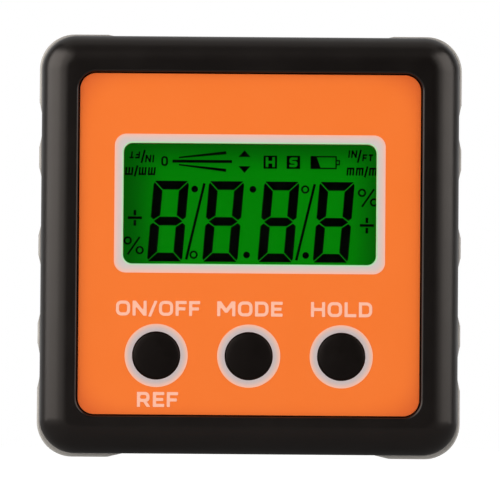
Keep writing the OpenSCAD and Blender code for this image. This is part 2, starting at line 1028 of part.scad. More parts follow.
module positive_contact() {
    color("gold")
        at_well_end(1, 1) {
            contact_disc();
            contact_bump();
            contact_leg();
        }
}

module negative_contact() {
    color("lightgray")
        at_well_end(1, -1) {
            contact_disc();
            contact_spring();
            contact_leg();
        }
}

module link_contact() {
    color("lightgray") {
        at_well_end(-1, 1) {
            contact_disc();
            contact_spring();
            translate([contact_t / 2, -battery_pitch / 2, 0])
                bar(contact_t, battery_pitch, -plate_r / 2, cradle_rise - leg_gap);
        }
        at_well_end(-1, -1) {
            contact_disc();
            contact_bump();
        }
    }
}

// Screws

// Screw that drives towards the front, with its head seated at depth 0
module screw(d, head_d, head_t, length) {
    point = d * point_share;
    difference() {
        union() {
            translate([0, 0, -head_t])
                cylinder(d = head_d, h = head_t);
            cylinder(d = d, h = length - point);
            translate([0, 0, length - point])
                cylinder(d1 = d, d2 = point, h = point);
        }
        for (turn = [0, 90])
            rotate(turn)
                bar(head_d * recess_share, recess_slot, -head_t - through, recess_depth - head_t);
    }
}

module case_screws() {
    seat = rear_at + counterbore_t;
    color("darkgray")
        stand()
            at_corners(screw_u, screw_v)
                translate([0, 0, seat])
                    screw(screw_d, screw_head_d, screw_head_t, screw_tip - seat);
}

module board_screws() {
    color("darkgray")
        stand()
            for (side = [-1, 1])
                translate([side * board_screw_u, board_screw_v, board_back])
                    screw(board_screw_d, board_head_d, board_head_t, screw_tip - board_back);
}

aluminium_band();
front_bezel();
label_plate();
display_lens();
lcd_panel();
backlight_panel();
lcd_holder();
zebra_strips();
circuit_board();
on_off_button();
mode_button();
hold_button();
on_off_plunger();
mode_plunger();
hold_plunger();
switch_bodies();
tilt_sensor();
controller_chip();
clock_crystal();
chip_components();
backlight_leds();
rear_cover();
battery_door();
upper_battery();
lower_battery();
positive_contact();
negative_contact();
link_contact();
base_magnets();
case_screws();
board_screws();
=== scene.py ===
import math

import bmesh
import bpy
from mathutils import Matrix, Vector


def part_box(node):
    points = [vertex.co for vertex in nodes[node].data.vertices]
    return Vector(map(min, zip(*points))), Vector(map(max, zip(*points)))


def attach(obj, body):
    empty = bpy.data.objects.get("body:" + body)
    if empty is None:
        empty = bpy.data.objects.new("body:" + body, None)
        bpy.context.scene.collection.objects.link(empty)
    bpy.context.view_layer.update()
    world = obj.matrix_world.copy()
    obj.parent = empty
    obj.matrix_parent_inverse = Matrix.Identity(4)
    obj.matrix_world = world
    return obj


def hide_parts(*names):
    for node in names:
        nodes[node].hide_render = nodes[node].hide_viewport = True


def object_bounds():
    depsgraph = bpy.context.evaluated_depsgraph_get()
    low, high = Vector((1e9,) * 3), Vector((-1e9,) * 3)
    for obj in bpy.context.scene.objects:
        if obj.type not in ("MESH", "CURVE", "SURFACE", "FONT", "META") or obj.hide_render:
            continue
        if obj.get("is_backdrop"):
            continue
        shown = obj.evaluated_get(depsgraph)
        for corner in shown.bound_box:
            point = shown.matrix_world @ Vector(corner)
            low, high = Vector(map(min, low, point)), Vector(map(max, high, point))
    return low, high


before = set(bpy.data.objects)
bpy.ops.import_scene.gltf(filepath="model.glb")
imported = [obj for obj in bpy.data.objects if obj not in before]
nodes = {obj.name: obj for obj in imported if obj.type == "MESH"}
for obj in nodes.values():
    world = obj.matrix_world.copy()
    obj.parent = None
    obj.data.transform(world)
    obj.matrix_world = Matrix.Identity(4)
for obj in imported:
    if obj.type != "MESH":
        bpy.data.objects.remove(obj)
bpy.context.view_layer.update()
mm = 0.001
print("frame loaded:", len(nodes), "nodes")


# Small tools

meshing = {"merge": 0.002, "cut": 0.001, "middleUp": 30,  # mm
           "flat": 0.4, "sharp": 30, "smooth": 35}  # degrees


def pick(piece):
    if bpy.context.mode != "OBJECT":
        bpy.ops.object.mode_set(mode="OBJECT")
    bpy.ops.object.select_all(action="DESELECT")
    piece.select_set(True)
    bpy.context.view_layer.objects.active = piece


def dressedCopy(nodeName, pieceName, cuts):
    piece = bpy.data.objects.new(pieceName, nodes[nodeName].data.copy())
    bpy.context.scene.collection.objects.link(piece)
    pick(piece)
    bpy.ops.mesh.customdata_custom_splitnormals_clear()
    bpy.ops.object.mode_set(mode="EDIT")
    bpy.ops.mesh.select_all(action="SELECT")
    bpy.ops.mesh.remove_doubles(threshold=meshing["merge"] * mm)
    planes = [((x * mm, 0, 0), (1, 0, 0)) for x in cuts]
    planes.append(((0, 0, meshing["middleUp"] * mm), (0, 0, 1)))
    for spot, normal in planes:  # cut through the openings, so that no flat face is left with a hole in it
        bpy.ops.mesh.select_all(action="SELECT")
        bpy.ops.mesh.bisect(plane_co=spot, plane_no=normal, threshold=meshing["cut"] * mm)
        bpy.ops.mesh.mark_seam()
    bpy.ops.mesh.select_all(action="SELECT")
    bpy.ops.mesh.dissolve_limited(angle_limit=math.radians(meshing["flat"]), delimit={"SEAM"})
    bpy.ops.object.mode_set(mode="OBJECT")
    return piece


def softenEdges(piece, width, segments, where):
    pick(piece)
    bpy.ops.object.mode_set(mode="EDIT")
    bpy.ops.mesh.select_mode(type="EDGE")
    bpy.ops.mesh.select_all(action="DESELECT")
    shape = bmesh.from_edit_mesh(piece.data)
    for edge in shape.edges:
        if edge.is_manifold and edge.calc_face_angle() > math.radians(meshing["sharp"]):
            middle = (edge.verts[0].co + edge.verts[1].co) / (2 * mm)
            edge.select_set(where(*middle))
    bmesh.update_edit_mesh(piece.data)
    bpy.ops.mesh.bevel(offset=width * mm, segments=segments, affect="EDGES", clamp_overlap=False)
    bpy.ops.object.mode_set(mode="OBJECT")


def smoothFinish(piece):
    pick(piece)
    bpy.ops.object.shade_smooth_by_angle(angle=math.radians(meshing["smooth"]))
    flats = piece.modifiers.new("flats", "WEIGHTED_NORMAL")  # keeps the flats flat beside soft edges
    flats.keep_sharp = True
    bpy.ops.object.modifier_apply(modifier=flats.name)


def fit(piece, body, slot, finish, *replaced):
    piece.data.materials.clear()
    piece.data.materials.append(finish)
    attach(piece, body)
    if replaced:
        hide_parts(*replaced)


# Finishes

noiseRange = (0.3, 0.7)  # most of a noise lies between these levels
noiseDetail = {"soft": 1.0, "grain": 2.0, "plain": 3.0, "lines": 4.0}


def paint(red, green, blue):  # screen colour, 0 to 255, to Blender's linear colour
    levels = [value / 255 for value in (red, green, blue)]
    return tuple(v / 12.92 if v <= 0.04045 else ((v + 0.055) / 1.055) ** 2.4 for v in levels) + (1.0,)


def newFinish(name, **settings):
    finish = bpy.data.materials.new(name)
    finish.use_nodes = True
    surface = finish.node_tree.nodes["Principled BSDF"]
    for socket, value in settings.items():
        surface.inputs[socket.replace("_", " ")].default_value = value
    return finish, finish.node_tree, surface


def objectPoint(tree, scale=(1, 1, 1), place=(0, 0, 0)):
    coords = tree.nodes.new("ShaderNodeTexCoord")
    mapping = tree.nodes.new("ShaderNodeMapping")
    mapping.inputs["Scale"].default_value = scale
    mapping.inputs["Location"].default_value = place
    tree.links.new(coords.outputs["Object"], mapping.inputs["Vector"])
    return mapping.outputs["Vector"]


def noise(tree, point, size, detail="plain"):  # size of the spots in mm
    texture = tree.nodes.new("ShaderNodeTexNoise")
    texture.inputs["Scale"].default_value = 1 / (size * mm)
    texture.inputs["Detail"].default_value = noiseDetail[detail]
    tree.links.new(point, texture.inputs["Vector"])
    return texture.outputs[0]


def remap(tree, value, fromLow, fromHigh, toLow, toHigh, smooth=False):
    node = tree.nodes.new("ShaderNodeMapRange")
    node.interpolation_type = "SMOOTHSTEP" if smooth else "LINEAR"
    for socket, number in zip(node.inputs[1:5], (fromLow, fromHigh, toLow, toHigh)):
        socket.default_value = number
    tree.links.new(value, node.inputs[0])
    return node.outputs[0]


def combine(tree, kind, first, second):
    node = tree.nodes.new("ShaderNodeMath")
    node.operation = kind
    for socket, value in zip(node.inputs, (first, second)):
        if isinstance(value, (int, float)):
            socket.default_value = value
        else:
            tree.links.new(value, socket)
    return node.outputs[0]


def unsigned(tree, value):  # the value without its sign
    return combine(tree, "ABSOLUTE", value, 0.0)


def vectorLength(tree, vector):
    node = tree.nodes.new("ShaderNodeVectorMath")
    node.operation = "LENGTH"
    tree.links.new(vector, node.inputs[0])
    return node.outputs["Value"]


def blendColours(tree, share, first, second):
    node = tree.nodes.new("ShaderNodeMix")
    node.data_type = "RGBA"
    tree.links.new(share, node.inputs[0])
    for socket, colour in zip(node.inputs[6:8], (first, second)):
        if isinstance(colour, tuple):
            socket.default_value = colour
        else:
            tree.links.new(colour, socket)
    return node.outputs[2]


def grain(tree, surface, height, depth):  # depth in mm
    bump = tree.nodes.new("ShaderNodeBump")
    bump.inputs["Strength"].default_value = 1.0
    bump.inputs["Distance"].default_value = depth * mm
    tree.links.new(height, bump.inputs["Height"])
    tree.links.new(bump.outputs["Normal"], surface.inputs["Normal"])


def speckledFinish(name, look):
    finish, tree, surface = newFinish(name, **look.get("settings", {}))
    point = objectPoint(tree)
    spots = noise(tree, point, look["spot"])
    tints = [paint(*tint) for tint in look["tints"]]
    tree.links.new(blendColours(tree, spots, *tints), surface.inputs["Base Color"])
    tree.links.new(remap(tree, spots, *noiseRange, *look["rough"]), surface.inputs["Roughness"])
    grainSize, grainDepth = look["grain"]
    grain(tree, surface, noise(tree, point, grainSize, "grain"), grainDepth)
    return finish


def tintEdge(finish, share, tint):  # lays a tint over a finish's own colour
    tree = finish.node_tree
    colour = tree.nodes["Principled BSDF"].inputs["Base Color"]
    tree.links.new(blendColours(tree, share, colour.links[0].from_socket, paint(*tint)), colour)


def liningFinish(name, look):  # fine lines drawn along one axis
    finish, tree, surface = newFinish(name, Metallic=look["metal"])
    lines = noise(tree, objectPoint(tree, scale=look["stretch"]), look["pitch"], "lines")
    cloud = noise(tree, objectPoint(tree), look["cloudSize"])
    tints = [paint(*tint) for tint in look["tints"]]
    tree.links.new(blendColours(tree, lines, *tints), surface.inputs["Base Color"])
    tree.links.new(remap(tree, cloud, *noiseRange, *look["rough"]), surface.inputs["Roughness"])
    grain(tree, surface, lines, look["lineDepth"])
    return finish


def orangeFilm(look):
    finish, tree, surface = newFinish("orangeFilm", Specular_IOR_Level=look["gloss"])
    half = look["half"] * mm
    spread = objectPoint(tree, (1 / half, 0, 1 / half), (0, 0, -look["middle"] * mm / half))
    split = tree.nodes.new("ShaderNodeSeparateXYZ")
    tree.links.new(spread, split.inputs["Vector"])
    across = combine(tree, "POWER", unsigned(tree, split.outputs["X"]), look["squareness"])
    up = combine(tree, "POWER", unsigned(tree, split.outputs["Z"]), look["squareness"])
    reach = combine(tree, "ADD", across, up)  # 1 along the label's outline, little inside it
    # painted shade: the film darkens towards its outline, where the bezel's recess shades it
    edge = remap(tree, reach, look["fadeFrom"], look["fadeTo"], 0.0, 1.0, smooth=True)
    point = objectPoint(tree)
    cloud = noise(tree, point, look["cloudSize"])
    tint = blendColours(tree, cloud, look["colour"], look["cloud"])
    tree.links.new(blendColours(tree, edge, tint, look["rim"]), surface.inputs["Base Color"])
    tree.links.new(remap(tree, cloud, *noiseRange, *look["rough"]), surface.inputs["Roughness"])
    grain(tree, surface, noise(tree, point, look["grainSize"], "grain"), look["grainDepth"])
    return finish


def litGreen(look):
    finish, tree, surface = newFinish("litGreen", Base_Color=look["base"], Roughness=look["rough"],
                                      Emission_Strength=1.0, Specular_IOR_Level=look["gloss"])
    split = tree.nodes.new("ShaderNodeSeparateXYZ")
    tree.links.new(objectPoint(tree), split.inputs["Vector"])
    across = unsigned(tree, combine(tree, "SUBTRACT", split.outputs["X"], look["aside"] * mm))
    up = split.outputs["Z"]
    # painted shade: the glow dims towards the sides and the top of the window, where the window's edge shades
    # the glass; aside moves its middle
    fromSides = remap(tree, across, look["sideDark"] * mm, look["sideLit"] * mm, 0.0, 1.0, smooth=True)
    fromTop = remap(tree, up, look["topDark"] * mm, look["topLit"] * mm, 0.0, 1.0, smooth=True)
    cloud = noise(tree, objectPoint(tree), look["cloudSize"], "soft")
    cloud = remap(tree, cloud, *noiseRange, look["cloudDim"], 1.0)
    lit = combine(tree, "MULTIPLY", combine(tree, "MULTIPLY", fromSides, fromTop), cloud)
    tree.links.new(blendColours(tree, lit, look["dim"], look["bright"]), surface.inputs["Emission Color"])
    return finish


def cellFinish(name, nubSide, look):
    finish, tree, surface = newFinish(name)
    split = tree.nodes.new("ShaderNodeSeparateXYZ")
    tree.links.new(objectPoint(tree), split.inputs["Vector"])
    geometry = tree.nodes.new("ShaderNodeNewGeometry")
    facing = tree.nodes.new("ShaderNodeSeparateXYZ")
    tree.links.new(geometry.outputs["Normal"], facing.inputs["Vector"])
    endFace = unsigned(tree, facing.outputs["X"])
    bare = combine(tree, "GREATER_THAN", endFace, look["bareAbove"])
    along = combine(tree, "MULTIPLY", split.outputs["X"], nubSide)
    cap = combine(tree, "GREATER_THAN", along, look["capFrom"] * mm)
    wrap = blendColours(tree, cap, look["wrap"], look["cap"])
    tree.links.new(blendColours(tree, bare, wrap, look["steel"]), surface.inputs["Base Color"])
    tree.links.new(bare, surface.inputs["Metallic"])
    scuff = noise(tree, objectPoint(tree), look["scuffSize"])
    tree.links.new(remap(tree, scuff, *noiseRange, *look["rough"]), surface.inputs["Roughness"])
    return finish


softGloss = {"Specular_IOR_Level": 0.25}
warmGloss = {"Specular_IOR_Level": 0.55, "Specular_Tint": (1.0, 0.94, 0.9, 1.0)}
rubberGloss = {"Specular_IOR_Level": 0.22, "Specular_Tint": (1.0, 0.86, 0.82, 1.0)}
faintGloss = {"Specular_IOR_Level": 0.05}
clearGlass = {"Transmission_Weight": 1.0, "IOR": 1.49, "Specular_IOR_Level": 0.1}
speckled = {  # tints in screen colours, spot and grain sizes and grain depth in mm
    "blackPlastic": {"tints": ((5, 2, 2), (8, 4, 3)), "spot": 4.0, "rough": (0.29, 0.33),
                     "grain": (0.22, 0.004), "settings": warmGloss},
    "rearPlastic": {"tints": ((14, 12, 12), (20, 18, 17)), "spot": 4.0, "rough": (0.44, 0.54),
                    "grain": (0.3, 0.012)},
    "rubber": {"tints": ((5, 3, 2), (8, 5, 4)), "spot": 1.5, "rough": (0.38, 0.46),
               "grain": (0.16, 0.004), "settings": rubberGloss},
    "wordPrint": {"tints": ((252, 188, 162), (254, 194, 168)), "spot": 1.0, "rough": (0.36, 0.42),
                  "grain": (0.1, 0.001), "settings": softGloss},
    "segment": {"tints": ((0, 1, 0), (1, 2, 1)), "spot": 1.0, "rough": (0.2, 0.26),
                "grain": (0.2, 0.0005), "settings": faintGloss},
    "clearLens": {"tints": ((250, 252, 250), (255, 255, 255)), "spot": 6.0, "rough": (0.0, 0.001),
                  "grain": (4.0, 0.00002), "settings": clearGlass},
    "whitePlastic": {"tints": ((224, 224, 218), (234, 234, 230)), "spot": 3.0, "rough": (0.4, 0.5),
                     "grain": (0.2, 0.004)},
    "diffuser": {"tints": ((196, 226, 190), (210, 236, 204)), "spot": 3.0, "rough": (0.4, 0.5),
                 "grain": (0.2, 0.003)},
    "stripRubber": {"tints": ((206, 150, 150), (80, 70, 70)), "spot": 0.3, "rough": (0.5, 0.6),
                    "grain": (0.2, 0.003)},
    "boardResist": {"tints": ((20, 84, 50), (28, 104, 62)), "spot": 1.2, "rough": (0.28, 0.4),
                    "grain": (0.3, 0.006)},
    "chipEpoxy": {"tints": ((24, 24, 26), (34, 34, 36)), "spot": 1.0, "rough": (0.5, 0.6),
                  "grain": (0.15, 0.004)},
    "switchPlastic": {"tints": ((44, 44, 46), (56, 56, 58)), "spot": 2.0, "rough": (0.4, 0.5),
                      "grain": (0.2, 0.004)},
    "plungerPlastic": {"tints": ((92, 58, 40), (108, 70, 50)), "spot": 1.0, "rough": (0.4, 0.5),
                       "grain": (0.2, 0.003)},
    "ceramic": {"tints": ((170, 140, 104), (186, 158, 122)), "spot": 0.8, "rough": (0.35, 0.5),
                "grain": (0.15, 0.003)},
    "diodeResin": {"tints": ((236, 230, 190), (244, 240, 210)), "spot": 1.0, "rough": (0.3, 0.4),
                   "grain": (0.2, 0.002)},
}
lined = {  # pitch and depth of the lines and size of the clouds in mm
    "aluminium": {"tints": ((164, 161, 156), (176, 173, 168)), "rough": (0.42, 0.5), "pitch": 0.12,
                  "lineDepth": 0.002, "stretch": (1, 0.012, 1), "cloudSize": 6.0, "metal": 0.2},
    "steel": {"tints": ((160, 160, 162), (188, 188, 190)), "rough": (0.24, 0.36), "pitch": 0.1,
              "lineDepth": 0.002, "stretch": (1, 1, 0.1), "cloudSize": 6.0, "metal": 1.0},
    "nickel": {"tints": ((196, 194, 188), (214, 212, 206)), "rough": (0.16, 0.26), "pitch": 0.2,
               "lineDepth": 0.001, "stretch": (0.05, 1, 1), "cloudSize": 6.0, "metal": 1.0},
}
# rim is painted shade along the film's outline, where the bezel's recess shades it; fadeFrom and fadeTo set
# where it comes in
film = {"half": 24, "middle": 30, "squareness": 8.0, "fadeFrom": 0.5, "fadeTo": 1.5, "gloss": 0.25,
        "colour": paint(246, 121, 47), "cloud": paint(248, 124, 49), "rim": paint(230, 106, 44),
        "cloudSize": 5.0, "rough": (0.3, 0.36), "grainSize": 0.25, "grainDepth": 0.002}
# dim, sideDark, sideLit, topDark, topLit and aside set painted shade from the window's edge on the glass
glow = {"base": paint(1, 20, 2), "dim": paint(2, 84, 4), "bright": paint(3, 128, 4), "rough": 0.2,
        "gloss": 0.05, "cloudSize": 9.0, "cloudDim": 0.94, "aside": 0.8, "sideDark": 18.5, "sideLit": 12.0,
        "topDark": 45.0, "topLit": 39.8}
cellLook = {"wrap": paint(34, 78, 60), "cap": paint(188, 192, 188), "steel": paint(196, 194, 190),
            "bareAbove": 0.6, "capFrom": 16.0, "scuffSize": 3.0, "rough": (0.24, 0.36)}
finishes = {name: speckledFinish(name, look) for name, look in speckled.items()}
finishes.update({name: liningFinish(name, look) for name, look in lined.items()})
finishes["orangeFilm"] = orangeFilm(film)
finishes["litGreen"] = litGreen(glow)
finishes["upperCell"] = cellFinish("upperCell", 1, cellLook)
finishes["lowerCell"] = cellFinish("lowerCell", -1, cellLook)
print("finishes:", len(finishes))


# Shells, band, door and buttons: copies of the solids with their edges softened

rubberButton = {"slot": "black_rubber", "finish": "rubber", "edge": 0.16, "steps": 3, "cuts": (),
                "where": lambda x, y, z: y < -14}
shells = {  # edge is the softened width, cuts are planes across, where picks edges by their place, all in mm
    "bezel": {"node": "front_bezel", "body": "case", "slot": "black_plastic", "finish": "blackPlastic",
              "edge": 0.12, "steps": 2, "cuts": (-13, 0, 13), "where": lambda x, y, z: y < -6.5},
    "label": {"node": "label_plate", "body": "case", "slot": "orange_label", "finish": "orangeFilm",
              "edge": 0.05, "steps": 2, "cuts": (-13, 0, 13), "where": lambda x, y, z: y < -14.3},
    "band": {"node": "aluminium_band", "body": "case", "slot": "aluminium", "finish": "aluminium",
             "edge": 0.08, "steps": 2, "cuts": (-11, 0, 11),
             "where": lambda x, y, z: max(abs(x), abs(z - meshing["middleUp"])) > 27.2},
    "rearCover": {"node": "rear_cover", "body": "case", "slot": "black_plastic", "finish": "rearPlastic",
                  "edge": 0.12, "steps": 2, "cuts": (-21.8, 0, 21.8), "where": lambda x, y, z: y > 8},
    "batteryDoor": {"node": "battery_door", "body": "battery_door", "slot": "black_plastic",
                    "finish": "rearPlastic", "edge": 0.1, "steps": 2, "cuts": (0,),
                    "where": lambda x, y, z: y > 14},
    "onOffButton": {**rubberButton, "node": "on_off_button", "body": "on_off"},
    "modeButton": {**rubberButton, "node": "mode_button", "body": "mode"},
    "holdButton": {**rubberButton, "node": "hold_button", "body": "hold"},
    "baseMagnets": {"node": "base_magnets", "body": "case", "slot": "magnet_nickel", "finish": "nickel",
                    "edge": 0.15, "steps": 2, "cuts": (), "where": lambda x, y, z: z < 1},
    "caseScrews": {"node": "case_screws", "body": "case", "slot": "screw_steel", "finish": "steel",
                   "edge": 0.1, "steps": 2, "cuts": (-21.8, 21.8), "where": lambda x, y, z: y > 13.4},
}
for pieceName, shell in shells.items():
    piece = dressedCopy(shell["node"], pieceName, shell["cuts"])
    softenEdges(piece, shell["edge"], shell["steps"], shell["where"])
    smoothFinish(piece)
    fit(piece, shell["body"], shell["slot"], finishes[shell["finish"]], shell["node"])
print("shells:", len(shells))


# Inner pieces keep their solids and get their finish

inner = {
    "display_lens": "clearLens", "lcd_panel": "litGreen", "backlight_panel": "diffuser",
    "lcd_holder": "whitePlastic", "zebra_strips": "stripRubber", "circuit_board": "boardResist",
    "switch_bodies": "switchPlastic",
    "on_off_plunger": "plungerPlastic", "mode_plunger": "plungerPlastic", "hold_plunger": "plungerPlastic",
    "tilt_sensor": "chipEpoxy", "controller_chip": "chipEpoxy", "clock_crystal": "nickel",
    "chip_components": "ceramic", "backlight_leds": "diodeResin", "upper_battery": "upperCell",
    "lower_battery": "lowerCell", "positive_contact": "nickel", "negative_contact": "nickel",
    "link_contact": "nickel", "board_screws": "steel",
}
for nodeName, finish in inner.items():
    nodes[nodeName].data.materials.clear()
    nodes[nodeName].data.materials.append(finishes[finish])
print("inner pieces:", len(inner))


# Flat print and display marks, drawn in mm

drawing = {"arcSteps": 4, "stepsPerMm": 4, "merge": 0.0005, "flat": 0.5,  # flat in degrees
           "fullRound": 0.999, "letterCorner": 0.05}  # shares of a radius and of a letter's height


def roundLoop(corners):  # corners are (across, up, radius)
    points = []
    for i, (x, z, radius) in enumerate(corners):
        here = Vector((x, z))
        if not radius:
            points.append((x, z))
            continue
        back = (Vector(corners[i - 1][:2]) - here).normalized()
        onward = (Vector(corners[(i + 1) % len(corners)][:2]) - here).normalized()
        half = back.angle(onward) / 2
        centre = here + (back + onward).normalized() * radius / math.sin(half)
        start = here + back * radius / math.tan(half) - centre
        sweep = start.angle_signed(here + onward * radius / math.tan(half) - centre)
        steps = drawing["arcSteps"] + round(drawing["stepsPerMm"] * radius)
        for k in range(steps + 1):
            turned = start.copy()
            turned.rotate(Matrix.Rotation(-sweep * k / steps, 2))
            points.append(tuple(centre + turned))
    return points


def box(left, bottom, right, top, radius=0.0):
    return [(left, bottom, radius), (left, top, radius), (right, top, radius), (right, bottom, radius)]


def disc(x, z, radius):
    return box(x - radius, z - radius, x + radius, z + radius, radius * drawing["fullRound"])


def bar(x0, z0, x1, z1, startWidth, endWidth=None):  # straight stroke between two points
    side = Vector((z1 - z0, x0 - x1)).normalized()
    a = side * startWidth / 2
    b = side * (startWidth if endWidth is None else endWidth) / 2
    start = [(x0 + a.x, z0 + a.y, 0), (x0 - a.x, z0 - a.y, 0)]
    return start + [(x1 - b.x, z1 - b.y, 0), (x1 + b.x, z1 + b.y, 0)]


def moved(loop, across=0.0, up=0.0, size=1.0, lean=0.0, turn=1):  # turn of -1 is half a turn
    return [(turn * (size * (x + lean * z) + across), turn * (size * z + up), size * r) for x, z, r in loop]


def flatPiece(name, loops, thickness, face, centre):
    outline = bpy.data.curves.new(name, "CURVE")
    outline.dimensions = "2D"
    outline.fill_mode = "BOTH"
    outline.extrude = thickness / 2
    for loop in loops:
        points = roundLoop(loop)
        spline = outline.splines.new("POLY")
        spline.points.add(len(points) - 1)
        for spot, (x, z) in zip(spline.points, points):
            spot.co = (x, z, 0, 1)
        spline.use_cyclic_u = True
    piece = bpy.data.objects.new(name, outline)
    bpy.context.scene.collection.objects.link(piece)
    pick(piece)
    bpy.ops.object.convert(target="MESH")
    piece = bpy.context.view_layer.objects.active
    bpy.ops.object.mode_set(mode="EDIT")
    bpy.ops.mesh.select_all(action="SELECT")
    bpy.ops.mesh.remove_doubles(threshold=drawing["merge"])
    bpy.ops.mesh.dissolve_limited(angle_limit=math.radians(drawing["flat"]))
    bpy.ops.mesh.normals_make_consistent(inside=False)
    bpy.ops.object.mode_set(mode="OBJECT")
    piece.scale = (mm, mm, mm)
    piece.rotation_euler = (math.radians(90), 0, 0)  # stands up and faces the front
    piece.location = (centre[0] * mm, (face - thickness / 2) * mm, centre[1] * mm)
    bpy.ops.object.transform_apply(location=True, rotation=True, scale=True)
    return piece


def copyAcross(piece, name, across):  # a copy with a mesh of its own, moved along X
    pick(piece)
    bpy.ops.object.duplicate(linked=False)
    twin = bpy.context.view_layer.objects.active
    twin.name = twin.data.name = name
    twin.location.x = across * mm
    bpy.ops.object.transform_apply(location=True, rotation=False, scale=False)
    return twin


# Letters one unit high, for a stroke width s

def letterLoops(letter, s):
    mid = 0.5 + s / 2
    if letter == "O":
        return 0.95, [box(0, 0, 0.95, 1, 0.36), box(s, s, 0.95 - s, 1 - s, 0.16)]
    if letter == "D":
        outer = [(0, 0, 0), (0, 1, 0), (0.88, 1, 0.38), (0.88, 0, 0.38)]
        return 0.88, [outer, [(s, s, 0), (s, 1 - s, 0), (0.88 - s, 1 - s, 0.17), (0.88 - s, s, 0.17)]]
    if letter == "R":
        outer = [(0, 0, 0), (0, 1, 0), (0.82, 1, 0.3), (0.82, 0.34, 0.26), (0.66, 0.33, 0), (0.88, 0, 0),
                 (0.88 - 1.2 * s, 0, 0), (0.42, 0.33, 0), (s, 0.33, 0), (s, 0, 0)]
        return 0.88, [outer, box(s, 0.33 + s, 0.82 - s, 1 - s, 0.1)]
    if letter == "S":
        low = [(0, 0.02, 0), (0, s, 0), (0.8 - s, s, 0.1), (0.8 - s, mid - s, 0.1),
               (0, mid - s, 0.24), (0, 1, 0.28)]
        return 0.8, [low + [(0.8 - x, 1 - z, r) for x, z, r in low]]
    shapes = {
        "N": (0.94, [(0, 0), (0, 1), (s, 1), (0.94 - s, 0.36), (0.94 - s, 1), (0.94, 1), (0.94, 0),
                     (0.94 - s, 0), (s, 0.64), (s, 0)]),
        "M": (1.18, [(0, 0), (0, 1), (1.2 * s, 1), (0.59, 0.52), (1.18 - 1.2 * s, 1), (1.18, 1), (1.18, 0),
                     (1.18 - s, 0), (1.18 - s, 0.64), (0.67, 0.24), (0.51, 0.24), (s, 0.64), (s, 0)]),
        "E": (0.75, [(0, 0), (0, 1), (0.75, 1), (0.75, 1 - s), (s, 1 - s), (s, mid), (0.68, mid),
                     (0.68, mid - s), (s, mid - s), (s, s), (0.75, s), (0.75, 0)]),
        "F": (0.74, [(0, 0), (0, 1), (0.74, 1), (0.74, 1 - s), (s, 1 - s), (s, 0.58), (0.66, 0.58),
                     (0.66, 0.58 - s), (s, 0.58 - s), (s, 0)]),
        "H": (0.93, [(0, 0), (0, 1), (s, 1), (s, mid), (0.93 - s, mid), (0.93 - s, 1), (0.93, 1), (0.93, 0),
                     (0.93 - s, 0), (0.93 - s, mid - s), (s, mid - s), (s, 0)]),
        "L": (0.78, [(0, 0), (0, 1), (s, 1), (s, s), (0.78, s), (0.78, 0)]),
        "T": (0.7, [(0, 1 - s), (0, 1), (0.7, 1), (0.7, 1 - s), (0.35 + s / 2, 1 - s), (0.35 + s / 2, 0),
                    (0.35 - s / 2, 0), (0.35 - s / 2, 1 - s)]),
        "I": (s, [(0, 0), (0, 1), (s, 1), (s, 0)]),
        "/": (0.5, [(-0.07, -0.06), (0.57 - s, 1), (0.57, 1), (s - 0.07, -0.06)]),
        "m": (1.05, [(0, 0), (0, 1), (1.05, 1), (1.05, 0), (1.05 - s, 0), (1.05 - s, 1 - s),
                     (0.525 + s / 2, 1 - s), (0.525 + s / 2, 0), (0.525 - s / 2, 0),
                     (0.525 - s / 2, 1 - s), (s, 1 - s), (s, 0)]),
    }
    width, corners = shapes[letter]
    return width, [[(x, z, drawing["letterCorner"]) for x, z in corners]]


def wordLoops(word, stroke, gap):  # word set from its left end, one unit high
    loops, x = [], 0.0
    for letter in word:
        width, shapes = letterLoops(letter, stroke)
        loops += [moved(shape, across=x) for shape in shapes]
        x += width + gap
    return x - gap, loops


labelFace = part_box("label_plate")[0].y / mm
printing = {"thickness": 0.03, "capHeight": 2.1, "stroke": 0.208, "gap": 0.16}
words = {  # piece, middle across, middle up and width, in mm
    "ON/OFF": ("wordOnOff", -12.79, 20.93, 11.84),
    "MODE": ("wordMode", 0.12, 20.93, 9.2),
    "HOLD": ("wordHold", 13.01, 20.93, 8.62),
    "REF": ("wordRef", -12.76, 8.12, 5.78),
}
for word, (pieceName, across, up, width) in words.items():
    length, loops = wordLoops(word, printing["stroke"], printing["gap"])
    high = printing["capHeight"]
    squeeze = width / (length * high)
    loops = [[(x * high * squeeze - width / 2, (z - 0.5) * high, r * high) for x, z, r in loop]
             for loop in loops]
    piece = flatPiece(pieceName, loops, printing["thickness"], labelFace, (across, up))
    fit(piece, "case", "orange_label", finishes["wordPrint"])
print("words:", len(words))


# Printed border of the window and rings of the buttons

def roundReach(tree, middle, width, height, radius):  # equals the radius along a rounded rectangle's outline
    split = tree.nodes.new("ShaderNodeSeparateXYZ")
    tree.links.new(objectPoint(tree, place=(0, 0, -middle * mm)), split.inputs["Vector"])
    beyond = tree.nodes.new("ShaderNodeCombineXYZ")  # how far past the straight part of each side
    for axis, size in (("X", width), ("Z", height)):
        straight = (size / 2 - radius) * mm
        past = combine(tree, "SUBTRACT", unsigned(tree, split.outputs[axis]), straight)
        tree.links.new(combine(tree, "MAXIMUM", past, 0.0), beyond.inputs[axis])
    return vectorLength(tree, beyond.outputs[0])


def borderShares(tree, middle, look):  # share of the outer tint, and of the window's glow on the inner edge
    radius = look["radius"]
    printWidth = (look["width"] - look["windowW"]) / 2
    reach = roundReach(tree, middle, look["width"], look["height"], radius)
    outerShare = remap(tree, reach, (radius - printWidth) * mm, radius * mm, 0.0, 1.0)
    radius = look["windowR"]
    reach = roundReach(tree, middle, look["windowW"], look["windowH"], radius)
    innerShare = remap(tree, reach, radius * mm, (radius + look["glow"]) * mm, 1.0, 0.0, smooth=True)
    return combine(tree, "POWER", outerShare, look["fade"]), innerShare


